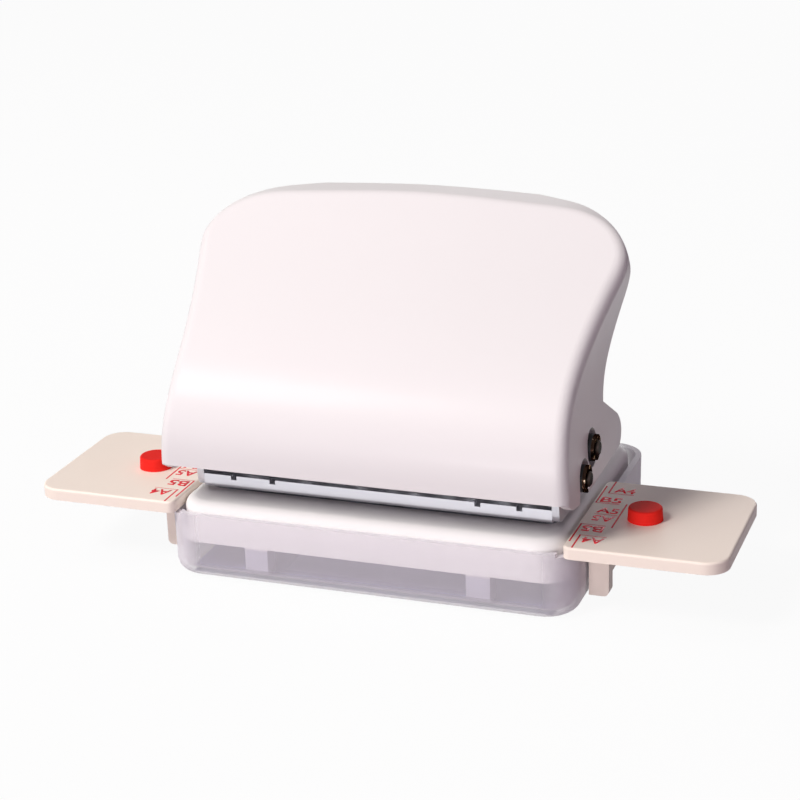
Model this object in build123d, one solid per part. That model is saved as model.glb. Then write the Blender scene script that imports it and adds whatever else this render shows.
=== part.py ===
"""Hand lever punch for loose-leaf paper: six round punches on a 9.5 mm pitch, clip-in side guides
with a sprung red peg each, and a frosted chip tray that also is the foot of the machine.

Frame: X to the right, Y to the back, Z up, millimetres.  Z = 0 is the desk, X = 0 the middle of the
row of punches and Y = 0 the line of the punches.  Heights named *_ABOVE are measured from the paper
table, because everything that guides or cuts the paper is set out from there.
"""
from build123d import *
from math import atan2, cos, pi, radians, sin, sqrt
import os

# ---------------------------------------------------------------- driving dimensions
TABLE = 12.9                # height of the paper table over the desk
HOLES = 6                   # punches in the row
PITCH = 9.5                 # from one punch to the next
PUNCH_D = 5.6               # diameter of a punch
SLOT = 0.9                  # gap that the paper slides into
ROW_HALF = (HOLES - 1) / 2 * PITCH

RUN = 0.04                  # radial clearance of a shaft or a pin that turns or slides
FIXED = 0.02                # radial clearance of a shaft that stays put in its hole
FACE = 0.1                  # gap between two flat faces that pass each other

# widths, each set out from the row of punches
FRAME_HALF = ROW_HALF + 7.25    # outer face of the upright ears of the punch frame
BASE_HALF = FRAME_HALF + 1.8    # base at the table
TRAY_HALF = BASE_HALF + 2.0
COVER_HALF = FRAME_HALF + 3.3   # lever cover at its lower edge
COVER_WAIST = FRAME_HALF + 2.6
COVER_FLARE = FRAME_HALF + 5.75  # at the shoulders

# base, moulded in plastic
BASE_FRONT = -13.3
BASE_REAR = 33.0
BASE_CORNER = 5.0
BASE_EDGE = 1.8             # rounding of the upper edge
BASE_DEPTH = 7.0            # from the table down to the lower edge of the skirt
BASE_TOP = 3.0              # thickness under the table
BASE_WALL = 1.5
SKIRT_STEP = 4.8            # the skirt is wider from here down, to fill the tray
DIE_HALF = FRAME_HALF - 1.0
DIE_FRONT = -6.0
DIE_REAR = 16.5
DIE_T = 1.5
CHUTE_GAP = 0.8             # room beside a chip in the long opening under the die holes
LEG_X = 19.0                # middle of a leg that stands on the tray floor
LEG_W = 4.0
LEG_D = 3.0
LEG_TOE = 0.9               # bevel of a leg beside the rounded foot of the tray

# chip tray, clear frosted plastic
TRAY_FRONT = -14.5
TRAY_REAR = 35.2
TRAY_CORNER = 5.8
TRAY_RIM = TABLE - 1.6
TRAY_DRAFT = 0.15           # how much smaller the foot is on each side than the rim
TRAY_WALL = 1.0
TRAY_FOOT_R = 2.2
TRAY_FIT = 0.25             # gap between the skirt and the tray wall
RIM_ROOM = 1.1              # room in the rim of the tray round and under the hooks of the guides

# punch frame, folded from sheet steel
SHEET = 1.2
FRAME_FRONT = -8.0
LIP_ABOVE = 3.2             # top of the front lip
STOP_Y = 6.5                # face that stops the edge of the paper
FOOT_REAR = 16.0
EAR_REAR = 9.0
EAR_R = 3.4                 # rounding of an ear about its shafts
NOTCHES = (17.6, 24.5)      # small relief notches in the front lip
NOTCH_W = 1.0
NOTCH_H = 0.7

# shafts and the lever's swing
PIVOT_Y = -5.2
PIVOT_ABOVE = 8.0
DRIVE_ABOVE = 11.2          # the drive shaft lies over the row of punches, at Y = 0
SHAFT_D = 2.5
SWING = 13.5                # degrees that the lever turns

# pin guide bridge over the frame
BRIDGE_ABOVE = 8.2          # top of its upper plate
BRIDGE_FRONT = -3.6
BRIDGE_Y = 8.0              # front face of its upright wall

# punches and their springs
TIP_ABOVE = 0.95            # tip of a resting punch
COLLAR_STEP = 0.9           # how far the collar stands out round a punch
COLLAR_T = 0.8
HEAD_ABOVE = 13.4           # top of a punch
CUP = 0.7                   # depth of the hollow in the cutting face
SPRING_WIRE = 0.5
SPRING_TURNS = 3

# lever: moulded cover over a folded steel bracket
COVER_WALL = 1.4
COVER_FRONT = -15.5
COVER_TOP_ABOVE = 45.8
COVER_EDGE = 2.0            # rounding between the front skin and the sides
SKIN = ((0.0, 9.0), (3.5, 19.7), (13.2, 29.1), (23.0, 36.6))    # front skin: behind the front, over the table
SKIN_RISE = 0.8             # slope of the skin above its last point
COVER_REAR = 24.0           # rear edge of the top
TOP_HEM = 1.6               # thicker border along that edge
FOOT_HEM = 0.9              # extra thickness along the lower front edge
LIP_MIDDLE = 6.1            # lower edge of the front skin, over the table
LIP_END = 7.2
WINDOW_W = 5.2              # upright window in each side for the ends of the shafts
WINDOW_TALL = 6.4
ARM_T = 0.8
ARM_GAP = 0.05              # between an ear of the frame and an arm of the bracket
ARM_R = 3.5
WEB_DEPTH = 4.6             # from the outer skin down to the bracket's web
WEB_FROM = -6.0             # lower and upper edge of the web, measured up the slope
WEB_TO = 8.0
BUSH_D = 4.4
CLIP_D = 4.4
CLIP_T = 0.5
CLIP_WAIST = 1.9            # shaft diameter in the groove of a clip
BRACKET_SCREWS = (-16.0, 16.0)
BRACKET_SCREW_D = 1.8
RIBS = 5
RIB_SPACING = 10.5
RIB_T = 1.2
RIB_DEPTH = 2.2
BOSS_R = 2.4

# side guides
GUIDE_IN = BASE_HALF + 0.2  # edge beside the base
GUIDE_OUT = GUIDE_IN + 25.4
GUIDE_DEPTH = 28.0
GUIDE_T = 2.0
GUIDE_CORNER = 3.8
FLANGE_IN = TRAY_HALF + 0.35
FLANGE_OUT = FLANGE_IN + 3.25
FLANGE_FRONT = -6.0
FLANGE_REAR = 12.0
FLANGE_DEPTH = 7.85
LEG_DEPTH = 11.4
BLOCK_DEPTH = 4.4
TONGUE_IN = GUIDE_IN - 6.5
TONGUE_FRONT = -3.0
TONGUE_REAR = 9.0
TONGUE_T = 1.25
PEG_PLACE = 4.5             # pitches from the middle to the peg
PEG_D = 5.6
PEG_TALL = 2.1
PEG_FLANGE_D = 7.2
PEG_FLANGE_T = 0.8
PEG_TRAVEL = 2.0
PEG_WALL = 0.7
PEG_WIRE = 0.4
BOSS_D = 10.0
BOSS_DEPTH = 5.5
CAP_T = 0.5

SCREW_X = (-20.0, 0.0, 20.0)
SCREW_Y = 12.6
SCREW_D = 3.0
SCREW_HEAD_D = 5.2
SCREW_HEAD_T = 1.7


# ---------------------------------------------------------------- small helpers
def prism_x(face, start, end):
    """A face drawn in (Y, Z), drawn out along X."""
    return extrude(Plane.YZ.offset(start) * face, end - start)


def prism_y(face, start, end):
    """A face drawn in (X, Z), drawn out along Y."""
    return extrude(Plane((0, start, 0), x_dir=(1, 0, 0), z_dir=(0, -1, 0)) * face, start - end)


def prism_z(face, start, end):
    """A face drawn in (X, Y), drawn out along Z."""
    return extrude(Pos(0, 0, start) * face, end - start)


def block(x, y, z):
    """A box between three pairs of limits."""
    size = [b - a for a, b in (x, y, z)]
    middle = [(a + b) / 2 for a, b in (x, y, z)]
    return Pos(*middle) * Box(*size)


def rod_x(radius, start, end, y, z):
    return Pos((start + end) / 2, y, z) * Rot(0, 90, 0) * Cylinder(radius, end - start)


def rod_z(radius, start, end, x=0.0, y=0.0):
    return Pos(x, y, (start + end) / 2) * Cylinder(radius, end - start)


def mirrored(shape):
    return mirror(shape, about=Plane.YZ)


def spots(radii_at):
    """Discs at (y, z) with their radii, joined by their common hull."""
    return make_hull([edge for y, z, r in radii_at for edge in (Pos(y, z) * Circle(r)).edges()])


def above(height):
    return TABLE + height


def punch_places():
    return [i * PITCH - ROW_HALF for i in range(HOLES)]


def rounded_outline(half, front, rear, corner):
    return Pos(0, (front + rear) / 2) * RectangleRounded(2 * half, rear - front, corner)


# the lever's arm, from the pivot to the drive shaft, and what a full swing does to the drive shaft
PIVOT_Z = above(PIVOT_ABOVE)
DRIVE_Z = above(DRIVE_ABOVE)
ARM = sqrt(PIVOT_Y ** 2 + (DRIVE_Z - PIVOT_Z) ** 2)
ARM_ANGLE = atan2(DRIVE_Z - PIVOT_Z, -PIVOT_Y)
SHAFT_R = SHAFT_D / 2


def drive_place(turn):
    """Where the drive shaft is, in (Y, Z), when the lever has turned by some degrees."""
    angle = ARM_ANGLE - radians(turn)
    return PIVOT_Y + ARM * cos(angle), PIVOT_Z + ARM * sin(angle)


DRIFT = drive_place(SWING)[0]
STROKE = DRIVE_Z - drive_place(SWING)[1]


# ---------------------------------------------------------------- coil springs
def coil_points(mean_r, low, high, wire, turns, per_turn):
    """Points and directions along the wire of a coil standing on Z."""
    rise = high - low - wire
    count = turns * per_turn
    places = []
    for i in range(count + 1):
        a = 2 * pi * i / per_turn
        z = low + wire / 2 + rise * i / count
        climb = rise / (2 * pi * turns)
        tangent = Vector(-mean_r * sin(a), mean_r * cos(a), climb).normalized()
        places.append((Vector(mean_r * cos(a), mean_r * sin(a), z), tangent))
    return places


def biarc(start, leaving, end, arriving):
    """Two arcs from start to end that keep both directions."""
    span = end - start
    total = leaving + arriving
    spread = 2 * (1 - leaving.dot(arriving))
    along = span.dot(total)
    reach = (sqrt(along ** 2 + spread * span.dot(span)) - along) / spread
    first, last = start + leaving * reach, end - arriving * reach
    middle = (first + last) * 0.5
    joint = (last - first).normalized()
    return [Edge.make_tangent_arc(start, leaving, middle), Edge.make_tangent_arc(middle, joint, end)]


def coil(mean_r, low, high, wire, turns):
    places = coil_points(mean_r, low, high, wire, turns, 2)
    edges = []
    for (start, leaving), (end, arriving) in zip(places, places[1:]):
        edges += biarc(start, leaving, end, arriving)
    section = Plane(origin=places[0][0], z_dir=places[0][1]) * RegularPolygon(wire / 2, 4)
    return sweep(section, path=Wire(edges))


def least_gap(mean_r, low, high, wire, turns):
    """Smallest space from one turn of a coil to another, measured on points."""
    per_turn = 24
    places = [place for place, _ in coil_points(mean_r, low, high, wire, turns, per_turn)]
    far = per_turn // 2
    pairs = ((a, b) for i, a in enumerate(places) for b in places[i + far:])
    return min((a - b).length for a, b in pairs) - wire


# ---------------------------------------------------------------- base and tray
def tray():
    foot = rounded_outline(TRAY_HALF - TRAY_DRAFT, TRAY_FRONT + TRAY_DRAFT, TRAY_REAR - TRAY_DRAFT,
                           TRAY_CORNER - TRAY_DRAFT)
    rim = rounded_outline(TRAY_HALF, TRAY_FRONT, TRAY_REAR, TRAY_CORNER)
    outer = loft([foot, Pos(0, 0, TRAY_RIM) * rim], ruled=True)
    outer = fillet(outer.faces().sort_by(Axis.Z)[0].edges(), TRAY_FOOT_R)
    inset = TRAY_DRAFT + TRAY_WALL
    foot_in = rounded_outline(TRAY_HALF - inset, TRAY_FRONT + inset, TRAY_REAR - inset, TRAY_CORNER - inset)
    rim_in = rounded_outline(TRAY_HALF - TRAY_WALL, TRAY_FRONT + TRAY_WALL, TRAY_REAR - TRAY_WALL,
                             TRAY_CORNER - TRAY_WALL)
    inner = loft([Pos(0, 0, TRAY_WALL) * foot_in, Pos(0, 0, TRAY_WALL + TRAY_RIM) * rim_in], ruled=True)
    inner = fillet(inner.faces().sort_by(Axis.Z)[0].edges(), TRAY_FOOT_R - TRAY_WALL)
    body = outer - inner
    # the rim dips under each guide plate, and further down for the flange of the guide
    body -= block((-TRAY_HALF - 1, TRAY_HALF + 1), (FLANGE_FRONT - RIM_ROOM, FLANGE_REAR + RIM_ROOM),
                  (above(-BLOCK_DEPTH) - RIM_ROOM, TRAY_RIM + 1))
    for side in (-1, 1):
        reach = sorted((side * (GUIDE_IN - RIM_ROOM), side * (TRAY_HALF + 1)))
        body -= block(reach, (-GUIDE_DEPTH / 2 - RIM_ROOM, GUIDE_DEPTH / 2 + RIM_ROOM),
                      (above(-GUIDE_T) - 2 * FACE, TRAY_RIM + 1))
    return body


def skirt_inset(height):
    """Half width of the skirt at a height over the desk: the tray's inner wall less the fit."""
    lean = TRAY_DRAFT * (1 - height / TRAY_RIM)
    return TRAY_WALL + lean + TRAY_FIT


def base():
    upper = prism_z(rounded_outline(BASE_HALF, BASE_FRONT, BASE_REAR, BASE_CORNER),
                    above(-SKIRT_STEP), TABLE)
    upper = fillet(upper.faces().sort_by(Axis.Z)[-1].edges(), BASE_EDGE)
    low, high = above(-BASE_DEPTH), above(-SKIRT_STEP)
    inset = skirt_inset(low)
    wide = rounded_outline(TRAY_HALF - inset, TRAY_FRONT + inset, TRAY_REAR - inset, TRAY_CORNER - inset)
    body = upper + prism_z(wide, low, high)
    room = rounded_outline(BASE_HALF - BASE_WALL, BASE_FRONT + BASE_WALL, BASE_REAR - BASE_WALL,
                           BASE_CORNER - BASE_WALL)
    body -= prism_z(room, low - 1, above(-BASE_TOP))
    # two cross ribs between the side walls, clear of the chutes and the guide pockets
    for y in (DIE_REAR + 4.0, DIE_REAR + 10.0):
        body += block((-BASE_HALF + 1, BASE_HALF - 1), (y - 0.6, y + 0.6), (low + 1.5, above(-BASE_TOP)))
    # seats for the screws of the frame
    for x in SCREW_X:
        body += rod_z(SCREW_HEAD_D / 2, low, above(-BASE_TOP), x, SCREW_Y)
    # legs that stand on the floor of the tray, channel shaped
    front_leg = BASE_FRONT + 0.4
    rear_leg = BASE_REAR - 0.4
    for x in (-LEG_X, LEG_X):
        for edge, inward in ((front_leg, 1), (rear_leg, -1)):
            back = edge + inward * LEG_D
            y = (min(edge, back), max(edge, back))
            leg = block((x - LEG_W / 2, x + LEG_W / 2), y, (TRAY_WALL + 0.05, above(-BASE_TOP)))
            slot_y = (min(edge + inward, back + inward), max(edge + inward, back + inward))
            leg -= block((x - LEG_W / 2 + 1, x + LEG_W / 2 - 1), slot_y, (0, low))
            toe = leg.edges().filter_by(Axis.X).group_by(Axis.Z)[0]
            toe = toe.sort_by(Axis.Y)[0 if inward > 0 else -1]
            body += chamfer(toe, LEG_TOE)
    # pocket for the tongue of each guide, with a shelf under it
    for side in (-1, 1):
        inner, outer = sorted((side * (TONGUE_IN - 1.2), side * (TRAY_HALF - inset)))
        shelf_top = above(-BLOCK_DEPTH) - FACE
        body += block((inner, outer), (TONGUE_FRONT - 1.2, TONGUE_REAR + 1.2),
                      (shelf_top - 1.2, above(-BASE_TOP)))
        inner, outer = sorted((side * (TONGUE_IN - 0.2), side * (TRAY_HALF + 1)))
        body -= block((inner, outer), (TONGUE_FRONT - FACE, TONGUE_REAR + FACE),
                      (shelf_top, above(-BLOCK_DEPTH + TONGUE_T) + FACE))
        inner, outer = sorted((side * BASE_HALF, side * (TRAY_HALF + 1)))
        body -= block((inner, outer), (FLANGE_FRONT - 0.3, FLANGE_REAR + 0.3), (shelf_top, TABLE))
    # seat of the die plate, the long chute under its holes and the screw holes
    body -= prism_z(die_outline(FIXED), above(-DIE_T), above(1))
    chute = PUNCH_D + 2 * CHUTE_GAP
    body -= prism_z(SlotOverall(2 * ROW_HALF + chute, chute), low - 1, TABLE)
    for x in SCREW_X:
        body -= rod_z(SCREW_D / 2 + FIXED, low - 1, TABLE, x, SCREW_Y)
    return body


def die_outline(gap=0.0):
    return rounded_outline(DIE_HALF + gap, DIE_FRONT - gap, DIE_REAR + gap, 2.0)


def die():
    plate = prism_z(die_outline(), above(-DIE_T), TABLE)
    for x in punch_places():
        plate -= rod_z(PUNCH_D / 2 + RUN, 0, 2 * TABLE, x)
    for x in SCREW_X:
        plate -= rod_z(SCREW_D / 2 + FIXED, 0, 2 * TABLE, x, SCREW_Y)
    return plate


# ---------------------------------------------------------------- punch frame, bridge and shafts
def frame_section():
    """Front lip, punch plate, step and foot in (Y, Z), one fold of sheet."""
    floor, top = above(SLOT), above(LIP_ABOVE)
    outline = Polyline((FRAME_FRONT, floor), (FRAME_FRONT, top), (FRAME_FRONT + SHEET, top),
                       (FRAME_FRONT + SHEET, floor + SHEET), (STOP_Y + SHEET, floor + SHEET),
                       (STOP_Y + SHEET, TABLE + SHEET), (FOOT_REAR, TABLE + SHEET), (FOOT_REAR, TABLE),
                       (STOP_Y, TABLE), (STOP_Y, floor), close=True)
    section = make_face(outline)
    corners = section.vertices().sort_by_distance((FRAME_FRONT, floor, 0))
    return fillet(corners[0], SHEET * 0.6)


def ear_outline():
    """Upright ear in (Y, Z), round about the shafts."""
    low = above(SLOT)
    return spots([(PIVOT_Y, PIVOT_Z, EAR_R), (DRIFT / 2, DRIVE_Z - STROKE / 2, EAR_R + STROKE / 2),
                  (FRAME_FRONT + 1.5, low + 1.5, 1.5), (EAR_REAR - 1.5, low + 1.5, 1.5)])


def drive_slot(gap):
    """Slot in (Y, Z) that the drive shaft sweeps as the lever swings."""
    return spots([(*drive_place(turn), SHAFT_R + gap) for turn in (0, SWING / 2, SWING)])


def punch_frame():
    plate_half = FRAME_HALF - 1.2
    body = prism_x(frame_section(), -plate_half, plate_half)
    for x in (-FRAME_HALF, FRAME_HALF - SHEET):
        body += prism_x(ear_outline(), x, x + SHEET)
    body -= prism_x(drive_slot(FACE), -FRAME_HALF - 1, FRAME_HALF + 1)
    body -= rod_x(SHAFT_R + FIXED, -FRAME_HALF - 1, FRAME_HALF + 1, PIVOT_Y, PIVOT_Z)
    for x in punch_places():
        body -= rod_z(PUNCH_D / 2 + RUN, 0, 2 * TABLE, x)
    for x in SCREW_X:
        body -= rod_z(SCREW_D / 2 + FIXED, 0, 2 * TABLE, x, SCREW_Y)
    for x in [side * place for side in (-1, 1) for place in NOTCHES]:
        body -= block((x - NOTCH_W / 2, x + NOTCH_W / 2), (FRAME_FRONT - 1, FRAME_FRONT + SHEET + 0.01),
                      (above(LIP_ABOVE - NOTCH_H), above(LIP_ABOVE + 1)))
    return body


def bridge():
    """Bracket that guides the upper ends of the punches."""
    half = FRAME_HALF - SHEET - 0.3
    low, high = above(SHEET), above(BRIDGE_ABOVE)
    rear = BRIDGE_Y + SHEET
    outline = Polyline((FOOT_REAR, low), (FOOT_REAR, low + SHEET), (rear, low + SHEET), (rear, high),
                       (BRIDGE_FRONT, high), (BRIDGE_FRONT, high - SHEET), (BRIDGE_Y, high - SHEET),
                       (BRIDGE_Y, low), close=True)
    section = make_face(outline)
    corner = section.vertices().sort_by_distance((rear, high, 0))[0]
    body = prism_x(fillet(corner, SHEET), -half, half)
    for x in punch_places():
        body -= rod_z(PUNCH_D / 2 + RUN, above(BRIDGE_ABOVE - 2 * SHEET), above(BRIDGE_ABOVE + 1), x)
    for x in SCREW_X:
        body -= rod_z(SCREW_D / 2 + FIXED, 0, above(SHEET * 2 + 1), x, SCREW_Y)
    # windows between the punches that lighten the upright wall
    for x in [(a + b) / 2 for a, b in zip(punch_places(), punch_places()[1:])]:
        opening = Pos(x, (low + SHEET + high - SHEET) / 2 + 0.3) * Rectangle(5.4, 2.6)
        body -= prism_y(opening, BRIDGE_Y - 1, rear + 1)
    return body


def clip_plane():
    """Distance from the middle of the machine to the inner face of a shaft clip."""
    return COVER_HALF + 0.15


def cross_shaft(y, z):
    end = clip_plane() + CLIP_T + 0.45
    shaft = rod_x(SHAFT_R, -end, end, y, z)
    shaft = chamfer(shaft.edges().filter_by(GeomType.CIRCLE), 0.25)
    for side in (-1, 1):
        start, stop = sorted((side * (clip_plane() - 0.03), side * (clip_plane() + CLIP_T + 0.03)))
        shaft -= rod_x(SHAFT_R + 1, start, stop, y, z) - rod_x(CLIP_WAIST / 2, start, stop, y, z)
    return shaft


def shaft_clip(side, y, z, turn):
    """Flat retaining clip: a split ring with three inner fingers that grip the shaft's groove."""
    grip = CLIP_WAIST / 2 + 0.01
    hub = SHAFT_R + 0.3
    ring = Circle(CLIP_D / 2) - Circle(hub)
    for angle in (90, 205, -25):
        ring += Rot(0, 0, angle) * Pos((grip + hub + 0.2) / 2, 0) * Rectangle(hub + 0.2 - grip, 0.9)
    ring -= Circle(grip)
    mouth = Pos(0, -CLIP_D / 2) * Rectangle(1.7, CLIP_D)
    ring -= mouth
    start, stop = sorted((side * clip_plane(), side * (clip_plane() + CLIP_T)))
    return prism_x(Pos(y, z) * Rot(0, 0, turn) * ring, start, stop)


def bush(side, y, z, near):
    start, stop = sorted((side * near, side * (clip_plane() - 0.03)))
    return rod_x(BUSH_D / 2, start, stop, y, z) - rod_x(SHAFT_R + FIXED, start, stop, y, z)


def frame_screws():
    top = above(2 * SHEET)
    bottom = above(-BASE_DEPTH) + 1
    screws = []
    for x in SCREW_X:
        head = rod_z(SCREW_HEAD_D / 2, top, top + SCREW_HEAD_T, x, SCREW_Y)
        head = chamfer(head.edges().group_by(Axis.Z)[-1], 0.5)
        screws.append(head + rod_z(SCREW_D / 2, bottom, top, x, SCREW_Y))
    return Compound(screws)


# ---------------------------------------------------------------- punches
def punch(x):
    tip, top = above(TIP_ABOVE), above(HEAD_ABOVE)
    body = rod_z(PUNCH_D / 2, tip, top)
    body = chamfer(body.edges().group_by(Axis.Z)[-1], 0.5)
    collar_top = above(BRIDGE_ABOVE) - SHEET - FACE
    body += rod_z(PUNCH_D / 2 + COLLAR_STEP, collar_top - COLLAR_T, collar_top)
    # concave cutting face and the cross slot for the drive shaft
    hollow = Rot(90, 0, 0) * Cylinder(((PUNCH_D / 2) ** 2 + CUP ** 2) / (2 * CUP), 2 * PUNCH_D)
    drop = ((PUNCH_D / 2) ** 2 + CUP ** 2) / (2 * CUP) - CUP
    body -= Pos(0, 0, tip - drop) * hollow
    slot = spots([(0, DRIVE_Z, SHAFT_R + RUN), (DRIFT, DRIVE_Z, SHAFT_R + RUN)])
    body -= prism_x(slot, -PUNCH_D, PUNCH_D)
    return Pos(x, 0, 0) * body


def punch_spring_size():
    low = above(SLOT + SHEET)
    high = above(BRIDGE_ABOVE) - SHEET - FACE - COLLAR_T
    return (PUNCH_D + COLLAR_STEP) / 2 + 0.05, low, high, SPRING_WIRE, SPRING_TURNS


# ---------------------------------------------------------------- lever
def skin_curve(inset=0.0):
    """Outer line of the front skin in (Y, Z), or that line moved in by a wall."""
    reach = 24.0
    points = [(COVER_FRONT + y, above(z)) for y, z in SKIN]
    points.append((points[-1][0] + reach, points[-1][1] + reach * SKIN_RISE))
    curve = Spline(*points, tangents=[(0, 1), (1, SKIN_RISE)])
    if inset == 0:
        return curve
    moved = []
    count = 12
    for i in range(count + 1):
        place, way = curve.position_at(i / count), curve.tangent_at(i / count)
        moved.append((place.X + way.Y * inset, place.Y - way.X * inset))
    first, last = curve.tangent_at(0), curve.tangent_at(1)
    return Spline(*moved, tangents=[(first.X, first.Y), (last.X, last.Y)])


def skin_side(inset=0.0, rear=60.0):
    """Everything behind the front skin, as a face in (Y, Z)."""
    curve = skin_curve(inset)
    start, end = curve @ 0, curve @ 1
    low = TABLE - 5.0
    rest = Polyline((end.X, end.Y), (rear, end.Y), (rear, low), (start.X, low), (start.X, start.Y))
    return make_face(Curve() + [curve, rest])


def cover_front_view(inset=0.0):
    """Outline from the front in (X, Z): waist, flared shoulders, wide corners and a slight crown."""
    top = COVER_TOP_ABOVE
    half = [(COVER_HALF, 2.0), (COVER_HALF - 0.1, 10.0), (COVER_WAIST, top - 23.0),
            (COVER_FLARE - 0.7, top - 11.4), (COVER_FLARE, top - 7.6), (COVER_FLARE - 1.8, top - 4.5),
            (COVER_FLARE - 6.4, top - 1.9), (COVER_FLARE - 15.6, top - 0.7)]
    points = [(x, above(z)) for x, z in half] + [(0, above(top))]
    points += [(-x, above(z)) for x, z in reversed(half)]
    curve = Spline(*points, tangents=[(0, 1), (0, -1)])
    if inset:
        count = 16
        moved = []
        for i in range(count + 1):
            place, way = curve.position_at(i / count), curve.tangent_at(i / count)
            moved.append((place.X - way.Y * inset, place.Y + way.X * inset))
        curve = Spline(*moved, tangents=[(0, 1), (0, -1)])
    start, end = curve @ 0, curve @ 1
    low = start.Y - 5.0
    rest = Polyline((end.X, end.Y), (end.X, low), (start.X, low), (start.X, start.Y))
    return make_face(Curve() + [curve, rest])


def cover_solid(inset, edge):
    """Skin and sides as one filled body, with a soft edge all along the front."""
    body = prism_y(cover_front_view(inset), -40, 60) & prism_x(skin_side(inset), -60, 60)
    if edge:
        front = [e for e in body.edges() if e.center().Y < 40 and e.bounding_box().min.Y < 30
                 and e.bounding_box().max.Z > above(40)]
        body = fillet(front, edge)
    return body


def cover_side_line():
    """Rear edge of a side wall in (Y, Z): lobe at the foot, sharp nick, bulge behind the waist."""
    z = above
    foot = Polyline((-30, z(LIP_END)), (-15.0, z(LIP_END)), (-12.0, z(5.4)), (-7.6, z(4.6)),
                    (-6.0, z(4.7)), (15.6, z(5.2)))
    lobe = Spline((15.6, z(5.2)), (18.0, z(7.4)), (15.9, z(11.3)), tangents=[(1, 0.1), (-1.1, 1)])
    nick = Line((15.9, z(11.3)), (8.2, z(16.0)))
    back = Spline((8.2, z(16.0)), (11.2, z(21.9)), (16.0, z(28.3)), (17.0, z(32.3)), (14.6, z(36.0)),
                  (13.0, z(38.4)), (14.6, z(41.0)), (18.8, z(43.9)), (22.4, z(45.0)))
    rest = Polyline((22.4, z(45.0)), (COVER_REAR, z(45.2)), (COVER_REAR, z(60)), (-30, z(60)),
                    (-30, z(LIP_END)))
    return make_face(Curve() + [foot, lobe, nick, back, rest])


def lip_cut():
    """Removes what hangs below the arched lower edge of the front skin, between the side walls."""
    z = above
    half = COVER_HALF - COVER_WALL
    arch = ThreePointArc((-half, z(LIP_END)), (0, z(LIP_MIDDLE)), (half, z(LIP_END)))
    rest = Polyline((half, z(LIP_END)), (half, 0), (-half, 0), (-half, z(LIP_END)))
    return prism_y(make_face(Curve() + [arch, rest]), -40, COVER_FRONT + COVER_EDGE + 0.6)


def web_frame():
    """Plane of the bracket's web: x runs up the slope, y points out through the skin."""
    foot, head = SKIN[-2], SKIN[-1]
    slope = atan2(head[1] - foot[1], head[0] - foot[0])
    return (COVER_FRONT + foot[0], above(foot[1])), slope


def on_web(along, depth):
    (y, z), slope = web_frame()
    return (y + along * cos(slope) + depth * sin(slope), z + along * sin(slope) - depth * cos(slope))


def skin_layer(depth, start, end, low, high):
    """All that lies between the outer skin and a depth under it, within limits of X and Z."""
    layer = skin_side() - skin_side(depth)
    height = Pos(0, (low + high) / 2) * Rectangle(200, high - low)
    return prism_x(layer & height, start, end)


def lever_cover():
    hollow = cover_solid(COVER_WALL, 0)
    # stiffening ribs down the inside of the skin, and thicker borders along its two edges
    for i in range(RIBS):
        x = (i - (RIBS - 1) / 2) * RIB_SPACING
        hollow -= skin_layer(COVER_WALL + RIB_DEPTH, x - RIB_T / 2, x + RIB_T / 2, above(14), above(60))
    hem = COVER_WALL + FOOT_HEM
    hem_half = COVER_HALF - hem - 0.4
    hollow -= skin_layer(hem, -hem_half, hem_half, above(LIP_MIDDLE - 1), above(LIP_END + 0.8))
    top = COVER_TOP_ABOVE - COVER_WALL - TOP_HEM
    hollow -= block((-COVER_FLARE, COVER_FLARE), (COVER_REAR - TOP_HEM, 70), (above(top), above(60)))
    shell = cover_solid(0.0, COVER_EDGE) - hollow
    shell &= prism_x(cover_side_line(), -60, 60)
    shell -= lip_cut()
    # windows for the ends of the two shafts; the lower one is open at the foot
    radius, reach = WINDOW_W / 2, (WINDOW_TALL - WINDOW_W) / 2
    upper = spots([(0, DRIVE_Z - reach, radius), (0, DRIVE_Z + reach, radius)])
    lower = spots([(PIVOT_Y, PIVOT_Z - 8, radius), (PIVOT_Y, PIVOT_Z + reach, radius)])
    for side in (-1, 1):
        start, stop = sorted((side * (COVER_HALF - 4), side * (COVER_HALF + 4)))
        shell -= prism_x(upper, start, stop) + prism_x(lower, start, stop)
    # bosses that the bracket is screwed to
    for x in BRACKET_SCREWS:
        shell += web_drill(x, COVER_WALL / 2, WEB_DEPTH, BOSS_R)
        shell -= web_drill(x, COVER_WALL + 1, WEB_DEPTH + 1, BRACKET_SCREW_D / 2 + FIXED)
    return shell


def lever_bracket():
    """Folded steel bracket: a web under the skin and an arm at each end for the two shafts."""
    inner = FRAME_HALF + ARM_GAP
    web = make_face(Polyline(on_web(WEB_FROM, WEB_DEPTH), on_web(WEB_TO, WEB_DEPTH),
                             on_web(WEB_TO, WEB_DEPTH + ARM_T), on_web(WEB_FROM, WEB_DEPTH + ARM_T),
                             close=True))
    body = prism_x(web, -inner - ARM_T / 2, inner + ARM_T / 2)
    middle = WEB_DEPTH + ARM_T / 2
    arm = spots([(0, DRIVE_Z, ARM_R), (PIVOT_Y, PIVOT_Z, ARM_R),
                 (*on_web(WEB_FROM + ARM_T / 2, middle), ARM_T / 2),
                 (*on_web(WEB_TO - ARM_T / 2, middle), ARM_T / 2)])
    for start in (-inner - ARM_T, inner):
        body += prism_x(arm, start, start + ARM_T)
    body -= rod_x(SHAFT_R + FIXED, -COVER_HALF, COVER_HALF, 0, DRIVE_Z)
    body -= rod_x(SHAFT_R + RUN, -COVER_HALF, COVER_HALF, PIVOT_Y, PIVOT_Z)
    # screw holes and two lightening windows in the web
    for x in BRACKET_SCREWS:
        body -= web_drill(x, WEB_DEPTH - 1, WEB_DEPTH + ARM_T + 1, BRACKET_SCREW_D / 2 + FIXED)
    return body


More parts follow.
